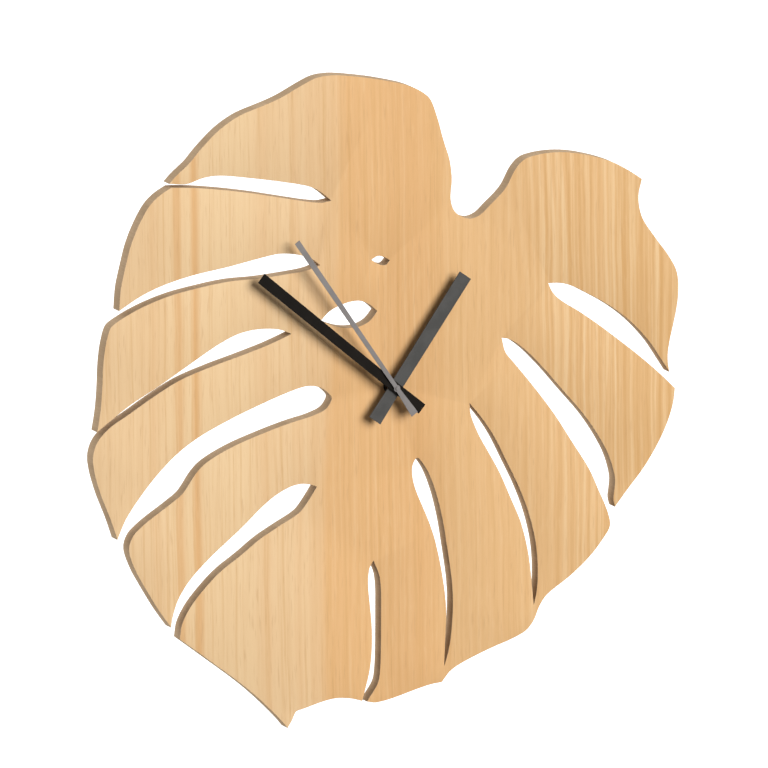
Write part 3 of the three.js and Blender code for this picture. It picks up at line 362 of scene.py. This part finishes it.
MATERIALS = {
    "wood": wood_face(),
    "wood_edge": wood_edge(),
    # The hour and second hands' greys are painted sheen: black hand paint lightened to stand for the light
    # that these hands catch.
    "hour_paint": grained(
        "hour_hand_black_lightened_as_sheen", srgb(76, 75, 73), srgb(84, 83, 81), 0.25, 0.01, 0.5, specular=0.22,
    ),
    "minute_paint": grained(
        "minute_hand_paint", srgb(19, 15, 10), srgb(25, 20, 15), 0.25, 0.01, 0.5, specular=0.12,
    ),
    "second_paint": grained(
        "second_hand_black_lightened_as_sheen", srgb(132, 127, 125), srgb(140, 135, 133), 0.2, 0.01, 0.45, specular=0.25,
    ),
    "case_plastic": grained(
        "case_plastic", srgb(27, 27, 29), srgb(33, 33, 35), 0.35, 0.05, 0.52, specular=0.4, spots=0.2,
    ),
    "white_plastic": grained("white_acetal", srgb(226, 223, 214), srgb(236, 233, 226), 0.5, 0.02, 0.4),
    "red_plastic": grained("red_acetal", srgb(158, 50, 38), srgb(172, 60, 46), 0.5, 0.02, 0.4),
    "steel": spangled("zinc_plated_steel", srgb(176, 178, 182), srgb(206, 208, 212), roughness=0.34),
    "dark_steel": brushed("blackened_steel", srgb(44, 44, 46), srgb(66, 66, 68), "x", roughness=0.42),
    "brass": brushed("turned_brass", srgb(178, 140, 70), srgb(206, 170, 98), "y", roughness=0.3),
    "rubber": grained(
        "rubber_washer", srgb(30, 30, 32), srgb(40, 40, 42), 0.6, 0.04, 0.8, specular=0.3, spots=0.3,
    ),
    "copper": wound("copper_winding", srgb(128, 62, 36), srgb(196, 112, 70), 4.0),
    "circuit": printed_board("printed_board"),
    "epoxy": grained("epoxy_drop", srgb(18, 18, 19), srgb(24, 24, 25), 0.8, 0.02, 0.25, coat=0.5),
    "battery_jacket": battery_sleeve("battery_sleeve", -CELL_HALF, CELL_HALF),
    "cell_steel": brushed("cell_end_steel", srgb(172, 173, 176), srgb(204, 205, 208), "x", roughness=0.3),
    "magnet": grained("ferrite_magnet", srgb(62, 62, 67), srgb(78, 78, 83), 0.3, 0.04, 0.55, spots=0.4),
}


# ------------------------------------------------------------------ pieces
# Points this close are one point, faces this flat are one face, and edges this sharp are arrises.
MERGE_DISTANCE = 0.002
FLAT_DEGREES = 0.4
ARRIS_DEGREES = 35


def add_piece(name, mesh, material_slots, body, stands_for):
    """Puts a mesh in the scene as one piece: its materials, its body, and the nodes it stands for."""
    piece = bpy.data.objects.new(name, mesh)
    bpy.context.scene.collection.objects.link(piece)
    for key in material_slots:
        mesh.materials.append(MATERIALS[key])
    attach(piece, body)
    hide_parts(*stands_for)
    return piece


def shade(mesh, sharp_degrees):
    """Smooth over curves, crisp over arrises."""
    mesh.shade_smooth()
    mesh.set_sharp_from_angle(angle=math.radians(sharp_degrees))


def solid_of(node):
    """A CAD node's solid as a clean bmesh: seams merged and flat faces whole."""
    solid = bmesh.new()
    solid.from_mesh(frame["nodes"][node].data)
    bmesh.ops.remove_doubles(solid, verts=solid.verts, dist=MERGE_DISTANCE * MM)
    flat = math.radians(FLAT_DEGREES)
    bmesh.ops.dissolve_limit(solid, angle_limit=flat, verts=solid.verts, edges=solid.edges)
    return solid


def refined(node, name, slot, body, bevel, steps=2, chosen=None):
    """Stands for a CAD node: the same solid with its arrises rounded to a radius in millimetres."""
    solid = solid_of(node)
    arrises = [
        edge for edge in solid.edges
        if len(edge.link_faces) == 2
        and edge.calc_face_angle(0.0) > math.radians(ARRIS_DEGREES)
        and (chosen is None or chosen(edge))
    ]
    bmesh.ops.bevel(
        solid, geom=arrises, offset=bevel * MM, offset_type="OFFSET", segments=steps, profile=0.5,
        affect="EDGES", clamp_overlap=True,
    )
    mesh = bpy.data.meshes.new(name)
    solid.to_mesh(mesh)
    solid.free()
    shade(mesh, sharp_degrees=50)
    piece = add_piece(name, mesh, [slot], body, [node])
    even = piece.modifiers.new("even_normals", "WEIGHTED_NORMAL")
    even.keep_sharp = True


# ------------------------------------------------------------------ leaf board
# ARRIS is the radius of the eased edges. An outline that turns by less than CORNER_TURN is a curve,
# with a point every STEP. A mitre reaches at most LONGEST_MITRE times its inset. A point within PLANE
# of a plane lies in it.
ARRIS = 0.12
ARRIS_STEPS = 3
CORNER_TURN = math.radians(22)
STEP = 1.6
LONGEST_MITRE = 2.2
LEAST = 1e-6
PLANE = 0.01


def outline_loops(solid, depth):
    """The closed loops of points round the flat face that a solid has at y = depth."""
    # a list, because a set of faces has another order in each run
    flat = [face for face in solid.faces if all(abs(v.co.y - depth) < PLANE * MM for v in face.verts)]
    members = set(flat)
    following = {}
    for face in flat:
        for loop in face.loops:
            others = [f for f in loop.edge.link_faces if f is not face]
            if not others or others[0] not in members:
                following[loop.vert] = loop.link_loop_next.vert
    loops = []
    while following:
        start = next(iter(following))
        run = [start]
        step = following.pop(start)
        while step is not start:
            run.append(step)
            step = following.pop(step)
        loops.append([Vector((v.co.x, v.co.z)) for v in run])
    return loops


def turn_at(points, i):
    before = points[i] - points[i - 1]
    after = points[(i + 1) % len(points)] - points[i]
    return before.angle_signed(after)


def smoothed(points):
    """The loop with more points, on smooth curves between its corners."""
    count = len(points)
    corner = [abs(turn_at(points, i)) > CORNER_TURN for i in range(count)]
    result = []
    for i in range(count):
        start = points[i]
        end = points[(i + 1) % count]
        before = start - (end - start) if corner[i] else points[i - 1]
        after = end + (end - start) if corner[(i + 1) % count] else points[(i + 2) % count]
        length = (end - start).length
        steps = max(1, round(length / (STEP * MM)))
        start_pull = (end - before) / ((start - before).length + length) * length
        end_pull = (after - start) / ((after - end).length + length) * length
        for k in range(steps):
            t = k / steps
            result.append(
                start * (2 * t**3 - 3 * t**2 + 1) + start_pull * (t**3 - 2 * t**2 + t)
                + end * (3 * t**2 - 2 * t**3) + end_pull * (t**3 - t**2)
            )
    return result


def drawn_in(points, distance):
    """The loop moved into the board by a distance, with long mitres cut short."""
    count = len(points)
    result = []
    for i, point in enumerate(points):
        before = (point - points[i - 1]).normalized()
        after = (points[(i + 1) % count] - point).normalized()
        inward_before = Vector((-before.y, before.x))
        inward_after = Vector((-after.y, after.x))
        mean = inward_before + inward_after
        if mean.length < LEAST:
            mean = inward_after
        mean.normalize()
        reach = min(1 / max(mean.dot(inward_after), LEAST), LONGEST_MITRE)
        result.append(point + mean * distance * reach)
    return result


def leaf_board():
    """The board with its arrises eased, its faces in face grain and its walls in cut edge."""
    solid = solid_of("leaf_dial")
    low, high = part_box("leaf_dial")
    front, rear = low.y, high.y
    loops = outline_loops(solid, front)
    solid.free()
    outer = max(loops, key=len)
    board = bmesh.new()
    rims = {front: [], rear: []}
    quarter = [math.pi / 2 * k / ARRIS_STEPS for k in range(ARRIS_STEPS + 1)]
    for points in loops:
        fine = smoothed(points)
        if points is outer:
            # its curves stay within the solid's own box
            fine = [Vector((min(max(p.x, low.x), high.x), min(max(p.y, low.z), high.z))) for p in fine]
        # rings from the front face round the arris, over the wall and round the rear arris
        insets = [(ARRIS * (1 - math.sin(a)), front + ARRIS * MM * (1 - math.cos(a))) for a in quarter]
        insets += [(ARRIS * (1 - math.cos(a)), rear - ARRIS * MM * (1 - math.sin(a))) for a in quarter]
        rings = []
        for inset, y in insets:
            moved = drawn_in(fine, inset * MM)
            rings.append([board.verts.new((p.x, y, p.y)) for p in moved])
        count = len(fine)
        for ring, following in zip(rings, rings[1:]):
            for i in range(count):
                k = (i + 1) % count
                face = board.faces.new((ring[i], ring[k], following[k], following[i]))
                face.material_index = 1
                face.smooth = True
        rims[front].append(rings[0])
        rims[rear].append(rings[-1])
    for y, rings in rims.items():
        edges = [board.edges.get((ring[i - 1], ring[i])) for ring in rings for i in range(len(ring))]
        filled = bmesh.ops.triangle_fill(board, use_beauty=True, use_dissolve=False, edges=edges)
        for face in filled["geom"]:
            if isinstance(face, bmesh.types.BMFace):
                face.material_index = 0
    bmesh.ops.recalc_face_normals(board, faces=board.faces)
    mesh = bpy.data.meshes.new("leaf_board")
    board.to_mesh(mesh)
    board.free()
    shade(mesh, sharp_degrees=25)
    add_piece("leaf_board", mesh, ["wood", "wood_edge"], BODY, ["leaf_dial"])


leaf_board()

# ------------------------------------------------------------------ hands
# The hour and second blades wear black paint lightened as painted sheen; the minute blade's black is its
# paint.
refined("hour_hand", "hour_hand_blade", "hour_paint", "hours", bevel=0.12)
refined("minute_hand", "minute_hand_blade", "minute_paint", "minutes", bevel=0.12)
refined("second_hand", "second_hand_blade", "second_paint", "seconds", bevel=0.08)
refined("second_hand_bush", "second_hand_cap", "second_paint", "seconds", bevel=0.08)

# ------------------------------------------------------------------ fixing
refined("hanger_plate", "hanger_sheet", "steel", BODY, bevel=0.15)
refined("rubber_washer", "rubber_ring", "rubber", BODY, bevel=0.3, steps=3)
refined("dial_washer", "fixing_washer", "dark_steel", BODY, bevel=0.1)
refined("dial_nut", "fixing_nut", "dark_steel", BODY, bevel=0.3)

# The shaft's bushing: a flange, then a cut thread, and a plain bore. The profile runs along the axis.
BUSHING_BORE = 2.8
THREAD_CREST = 3.5
THREAD_ROOT = 3.12
THREAD_PITCH = 0.75
FLANGE_RADIUS = 5.0
FLANGE_HEIGHT = 0.6
THREAD_ROWS = 8
THREAD_SIDES = 40


def threaded_shaft():
    low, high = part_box("threaded_bushing")
    rear, front = high.y, low.y
    shoulder = rear - FLANGE_HEIGHT * MM
    rows = round((shoulder - front) / (THREAD_PITCH * MM) * THREAD_ROWS)
    shaft = bmesh.new()

    def ring(depth, radius_at):
        points = []
        for i in range(THREAD_SIDES):
            share = i / THREAD_SIDES
            radius = radius_at(share) * MM
            angle = share * math.tau
            points.append(shaft.verts.new((radius * math.cos(angle), depth, radius * math.sin(angle))))
        return points

    def thread_radius(row, share):
        """A flat crest, a flat root and straight flanks, that run out at both ends of the thread."""
        phase = (row / THREAD_ROWS + share) % 1
        height = min(max(1.5 - abs(phase - 0.5) * 4, 0), 1)
        ends = min(row, rows - row) / (THREAD_ROWS / 2)
        return THREAD_ROOT + (THREAD_CREST - THREAD_ROOT) * height * min(ends, 1)

    rings = [ring(rear, lambda share: BUSHING_BORE), ring(rear, lambda share: FLANGE_RADIUS)]
    rings.append(ring(shoulder, lambda share: FLANGE_RADIUS))
    for row in range(rows + 1):
        depth = shoulder + (front - shoulder) * row / rows
        rings.append(ring(depth, lambda share, row=row: thread_radius(row, share)))
    rings.append(ring(front, lambda share: BUSHING_BORE))
    for first, second in zip(rings, rings[1:] + rings[:1]):
        for i in range(THREAD_SIDES):
            k = (i + 1) % THREAD_SIDES
            shaft.faces.new((first[i], first[k], second[k], second[i]))
    bmesh.ops.recalc_face_normals(shaft, faces=shaft.faces)
    mesh = bpy.data.meshes.new("threaded_shaft")
    shaft.to_mesh(mesh)
    shaft.free()
    shade(mesh, sharp_degrees=32)
    add_piece("threaded_shaft", mesh, ["brass"], BODY, ["threaded_bushing"])


threaded_shaft()


# ------------------------------------------------------------------ movement case
def lies_in(depths):
    """Picks the edges that lie in one of the planes at these values of y."""
    return lambda edge: any(
        all(abs(vert.co.y - depth) < PLANE * MM for vert in edge.verts) for depth in depths
    )


def at_rear(node):
    return lies_in([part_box(node)[1].y])


def at_ends(node):
    return lies_in([corner.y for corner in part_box(node)])


refined("case_front", "case_shell", "case_plastic", BODY, bevel=0.4, steps=3, chosen=at_ends("case_front"))
refined("case_back", "case_cover", "case_plastic", BODY, bevel=0.16, chosen=at_rear("case_back"))
refined("setting_knob", "setting_wheel", "case_plastic", "knob", bevel=0.12, chosen=at_rear("setting_knob"))


# ------------------------------------------------------------------ battery
CELL_SIDES = 56
# The cell from its flat end to its button, as radius and distance along it, with the film between
# the two rolled ends. The last value tells whether the stretch up to that point is film.
CELL_PROFILE = [
    (0.0, 0.3, False), (4.4, 0.3, False), (4.7, 0.0, False), (5.3, 0.0, False), (5.6, 0.35, False),
    (6.2, 0.35, False), (6.5, 0.1, False), (6.85, 0.1, False), (7.05, 0.3, False), (7.1, 0.6, True),
    (7.1, 47.6, True), (7.0, 48.0, True), (6.7, 48.25, True), (6.2, 48.3, True), (6.1, 48.2, False),
    (5.7, 48.1, False), (5.4, 48.25, False), (5.0, 48.45, False), (3.2, 48.6, False), (2.8, 48.75, False),
    (2.7, 49.0, False), (2.65, 49.65, False), (2.4, 49.9, False), (0.0, 49.9, False),
]


def battery_cell():
    low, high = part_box("battery")
    middle = (low + high) / 2
    cell = bmesh.new()
    rings = []
    for radius, along, _ in CELL_PROFILE:
        x = low.x + along * MM
        if radius == 0:
            rings.append([cell.verts.new((x, middle.y, middle.z))])
            continue
        turns = [math.tau * i / CELL_SIDES for i in range(CELL_SIDES)]
        rings.append([
            cell.verts.new((x, middle.y + radius * MM * math.cos(a), middle.z + radius * MM * math.sin(a)))
            for a in turns
        ])
    for first, second, (_, _, film) in zip(rings, rings[1:], CELL_PROFILE[1:]):
        for i in range(CELL_SIDES):
            k = (i + 1) % CELL_SIDES
            corners = [first[i % len(first)], first[k % len(first)]]
            corners += [second[k % len(second)], second[i % len(second)]]
            face = cell.faces.new(list(dict.fromkeys(corners)))
            face.material_index = 0 if film else 1
    bmesh.ops.recalc_face_normals(cell, faces=cell.faces)
    mesh = bpy.data.meshes.new("battery_cell")
    cell.to_mesh(mesh)
    cell.free()
    shade(mesh, sharp_degrees=40)
    add_piece(
        "battery_cell", mesh, ["battery_jacket", "cell_steel"], BODY, ["battery"],
    )


battery_cell()

# ------------------------------------------------------------------ the rest keeps its CAD solid
NODE_SLOTS = {part["node"]: part["material_slot"] for part in frame["record"]["subparts"]}
for node, piece in frame["nodes"].items():
    if not piece.hide_render:
        piece.data.materials.clear()
        piece.data.materials.append(MATERIALS[NODE_SLOTS[node]])

# ------------------------------------------------------------------ floor, light, camera
VIEW_AZIMUTH = -27.0
VIEW_ELEVATION = 14.0
LENS = 1500.0
SENSOR = 36.0
FRAME_WIDTH = 462.7
AXIS_OFFSET_RIGHT = 3.9
AXIS_OFFSET_DOWN = 0.8
# The floor's drop below the clock, its radius and the camera's clipping are in metres. A viewer more
# than 4.8 degrees below the clock stands under the floor, which hides the clock.
FLOOR_DROP = 1.6
FLOOR_RADIUS = 14.0
FLOOR_SIDES = 96
FLOOR_TONE = 0.9
FLOOR_GLOW = 0.65
CLIP_START = 0.1
CLIP_END = 100.0
FRONT_LIGHT = 0.15
REAR_LIGHT = 1.05
SKY_TILT = 0.05
SIDE_TILT = 0.6
BACKGROUND = 1.0
KEY_AZIMUTH = 24.2
KEY_ELEVATION = 20.8
KEY_STRENGTH = 3.13
KEY_WIDTH = 41.0


def direction(azimuth, elevation):
    """From the clock towards a viewer at these angles; azimuth 0 is straight in front of the dial."""
    a = math.radians(azimuth)
    e = math.radians(elevation)
    return Vector((math.sin(a) * math.cos(e), -math.cos(a) * math.cos(e), math.sin(e)))


def add_floor():
    mesh = bpy.data.meshes.new("floor")
    disc = bmesh.new()
    bmesh.ops.create_circle(disc, cap_ends=True, segments=FLOOR_SIDES, radius=FLOOR_RADIUS)
    disc.to_mesh(mesh)
    disc.free()
    floor = bpy.data.objects.new("floor", mesh)
    floor.location.z = -FLOOR_DROP
    bpy.context.scene.collection.objects.link(floor)
    pale = bpy.data.materials.new("pale_floor")
    pale.use_nodes = True
    shader = pale.node_tree.nodes["Principled BSDF"]
    shader.inputs["Base Color"].default_value = (FLOOR_TONE, FLOOR_TONE, FLOOR_TONE, 1)
    shader.inputs["Roughness"].default_value = 0.9
    shader.inputs["Emission Color"].default_value = (1, 1, 1, 1)
    shader.inputs["Emission Strength"].default_value = FLOOR_GLOW
    mesh.materials.append(pale)
    floor.visible_diffuse = False
    floor.visible_glossy = False


def add_world():
    """White light from all round: little from the front, more from behind, most from the rear left."""
    world = bpy.data.worlds.new("studio")
    bpy.context.scene.world = world
    world.use_nodes = True
    tree = world.node_tree

    def linked(kind, **inputs):
        node = tree.nodes.new(kind)
        for key, value in inputs.items():
            give(tree, node.inputs[key.replace("_", " ")], value)
        return node

    towards = linked("ShaderNodeSeparateXYZ", Vector=linked("ShaderNodeTexCoord").outputs["Generated"])
    rear = linked(
        "ShaderNodeMapRange", Value=towards.outputs["Y"],
        From_Min=-0.25, From_Max=0.25, To_Min=0.0, To_Max=1.0,
    )
    rear.interpolation_type = "SMOOTHSTEP"

    def scaled_sum(value, factor, base):
        step = tree.nodes.new("ShaderNodeMath")
        step.operation = "MULTIPLY_ADD"
        for socket, given in zip(step.inputs, (value, factor, base)):
            give(tree, socket, given)
        return step.outputs[0]

    leftward = scaled_sum(towards.outputs["X"], -SIDE_TILT, REAR_LIGHT - FRONT_LIGHT)
    upward = scaled_sum(towards.outputs["Z"], SKY_TILT, leftward)
    strength = scaled_sum(upward, rear.outputs["Result"], FRONT_LIGHT)
    light = linked("ShaderNodeBackground", Color=(1, 1, 1, 1), Strength=strength)
    seen = linked("ShaderNodeBackground", Color=(1, 1, 1, 1), Strength=BACKGROUND)
    choice = linked("ShaderNodeMixShader", Fac=linked("ShaderNodeLightPath").outputs["Is Camera Ray"])
    tree.links.new(light.outputs["Background"], choice.inputs[1])
    tree.links.new(seen.outputs["Background"], choice.inputs[2])
    tree.links.new(choice.outputs["Shader"], tree.nodes["World Output"].inputs["Surface"])


def add_key(azimuth, elevation, strength, width):
    """One soft light from a side. Its width is the angle that it fills, so its shadows have soft borders."""
    lamp = bpy.data.lights.new("key", "SUN")
    lamp.energy = strength
    lamp.angle = math.radians(width)
    key = bpy.data.objects.new("key", lamp)
    bpy.context.scene.collection.objects.link(key)
    towards = direction(azimuth, elevation)
    key.location = towards
    key.rotation_mode = "QUATERNION"
    key.rotation_quaternion = towards.to_track_quat("Z", "Y")


def add_camera():
    camera = bpy.data.cameras.new("camera")
    camera.lens = LENS
    camera.sensor_width = SENSOR
    viewer = bpy.data.objects.new("camera", camera)
    bpy.context.scene.collection.objects.link(viewer)
    towards = direction(VIEW_AZIMUTH, VIEW_ELEVATION)
    turn = towards.to_track_quat("Z", "Y")
    right = turn @ Vector((1, 0, 0))
    up = turn @ Vector((0, 1, 0))
    leaf_front = Vector((0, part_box("leaf_dial")[0].y, 0))
    target = leaf_front + (up * AXIS_OFFSET_DOWN - right * AXIS_OFFSET_RIGHT) * MM
    distance = FRAME_WIDTH * MM * LENS / SENSOR
    viewer.location = target + towards * distance
    viewer.rotation_mode = "QUATERNION"
    viewer.rotation_quaternion = turn
    camera.clip_start = CLIP_START
    camera.clip_end = CLIP_END
    bpy.context.scene.camera = viewer


add_floor()
add_world()
add_key(KEY_AZIMUTH, KEY_ELEVATION, KEY_STRENGTH, KEY_WIDTH)
add_camera()
bpy.context.scene.view_settings.view_transform = "Standard"
